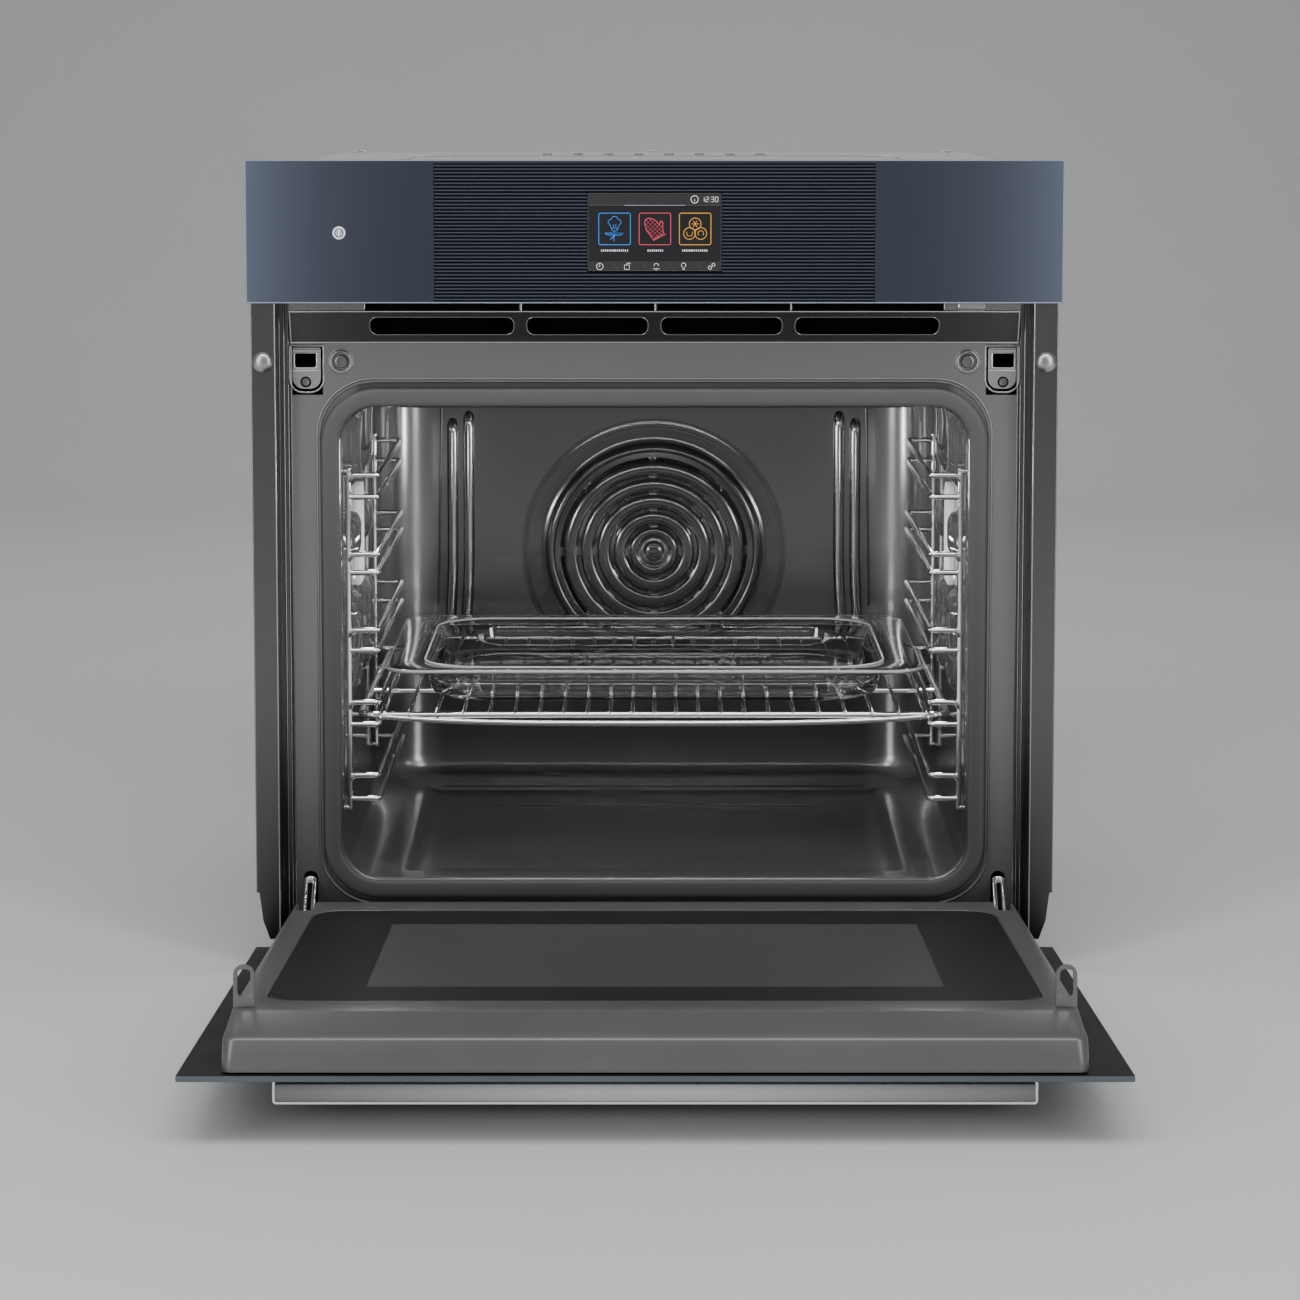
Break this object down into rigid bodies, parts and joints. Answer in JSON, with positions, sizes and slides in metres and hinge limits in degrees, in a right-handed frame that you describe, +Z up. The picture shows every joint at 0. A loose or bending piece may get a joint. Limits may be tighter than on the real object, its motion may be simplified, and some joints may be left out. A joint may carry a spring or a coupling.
{
  "type": "built-in wall oven",
  "caption": "Built-in wall oven with a drop-down glass door, touch control panel, side racks, wire shelf with a glass dish, and a convection fan.",
  "frame": {"origin": "middle of the underside of the casing's base, where the oven stands in its niche", "axes": "+X to the viewer's right, +Y back into the cabinet, +Z up"},
  "size_m": [0.597, 1.0249, 0.5937],
  "materials": {
    "galvanised_steel": "zinc-coated sheet, satin",
    "frame_steel": "satin grey enamelled steel frame",
    "trim_steel": "polished steel side trim",
    "cavity_enamel": "glossy grey enamel",
    "chrome_wire": "bright chrome",
    "steel_bright": "bright steel fastener",
    "seal_rubber": "grey silicone seal",
    "mineral_wool": "mineral wool blanket",
    "black_plastic": "matt moulding",
    "panel_glass": "back-painted slate-blue glass",
    "panel_ribs": "fine horizontal ribs, dark blue",
    "display": "touch screen",
    "lit_mark": "lit touch mark",
    "clear_glass": "clear glass",
    "door_glass": "dark printed glass",
    "door_paint": "satin grey paint",
    "handle_steel": "brushed with polished edge",
    "circuit_board": "green board"
  },
  "bodies": {
    "oven_body": {"casing_base": "galvanised_steel", "casing_left": "galvanised_steel", "casing_right": "galvanised_steel", "casing_top": "galvanised_steel", "casing_back": "galvanised_steel", "terminal_block": "black_plastic", "front_frame": "frame_steel", "cavity_shell": "cavity_enamel", "fan_cover": "cavity_enamel", "cavity_seal": "seal_rubber", "insulation_wrap": "mineral_wool", "grill_element": "cavity_enamel", "base_element": "cavity_enamel", "ring_element": "cavity_enamel", "fan_motor": "galvanised_steel", "panel_glass": "panel_glass", "panel_ribs": "panel_ribs", "display_screen": "display", "power_key": "lit_mark", "panel_housing": "black_plastic", "control_board": "circuit_board", "blower_housing": "galvanised_steel", "side_trim_left": "trim_steel", "side_trim_right": "trim_steel", "trim_screw_left": "steel_bright", "trim_screw_right": "steel_bright", "frame_screw_left": "steel_bright", "frame_screw_right": "steel_bright", "lamp_cover_left": "clear_glass", "lamp_cover_right": "clear_glass", "rack_left": "chrome_wire", "rack_right": "chrome_wire", "latch_housing_left": "galvanised_steel", "latch_housing_right": "galvanised_steel", "latch_screw_left": "steel_bright", "latch_screw_right": "steel_bright", "hinge_socket_left": "galvanised_steel", "hinge_socket_right": "galvanised_steel", "hinge_arm_left": "steel_bright", "hinge_arm_right": "steel_bright"},
    "door": {"door_outer_glass": "door_glass", "door_middle_glass_outer": "clear_glass", "door_middle_glass_inner": "clear_glass", "door_inner_glass": "door_glass", "door_frame": "door_paint", "door_top_rail": "door_paint", "handle_bar": "handle_steel", "hinge_pin_left": "steel_bright", "hinge_pin_right": "steel_bright", "handle_post_left": "handle_steel", "handle_post_right": "handle_steel", "latch_loop_left": "steel_bright", "latch_loop_right": "steel_bright"},
    "shelf": {"wire_shelf": "chrome_wire"},
    "dish": {"glass_dish": "clear_glass"},
    "convection_fan": {"fan_rotor": "galvanised_steel"},
    "cooling_fan": {"blower_impeller": "galvanised_steel"},
    "latch_left": {"latch_bolt_left": "steel_bright"},
    "latch_right": {"latch_bolt_right": "steel_bright"}
  },
  "joints": [
    {"name": "door_hinge", "type": "hinge", "parent": "oven_body", "child": "door", "pos_m": [0, -0.29525, 0.008], "axis": [-1, 0, 0], "range_deg": [0, 86.18]},
    {"name": "shelf_slide", "type": "slide", "parent": "oven_body", "child": "shelf", "axis": [0, 1, 0], "range_m": [-0.34, 0]},
    {"name": "dish_lift", "type": "slide", "parent": "shelf", "child": "dish", "axis": [0, 0, 1], "range_m": [0, 0.014]},
    {"name": "convection_fan_spin", "type": "hinge", "parent": "oven_body", "child": "convection_fan", "pos_m": [0, 0.16175, 0.243], "axis": [0, 1, 0], "continuous": true},
    {"name": "cooling_fan_spin", "type": "hinge", "parent": "oven_body", "child": "cooling_fan", "pos_m": [0, 0.14175, 0.495], "axis": [1, 0, 0], "continuous": true},
    {"name": "latch_left_slide", "type": "slide", "parent": "oven_body", "child": "latch_left", "axis": [0, 0, 1], "range_m": [0, 0.0075]},
    {"name": "latch_right_slide", "type": "slide", "parent": "oven_body", "child": "latch_right", "axis": [0, 0, 1], "range_m": [0, 0.0075]}
  ],
  "couplings": [
    {"joint": "latch_right_slide", "follows": "latch_left_slide", "ratio": 1}
  ]
}
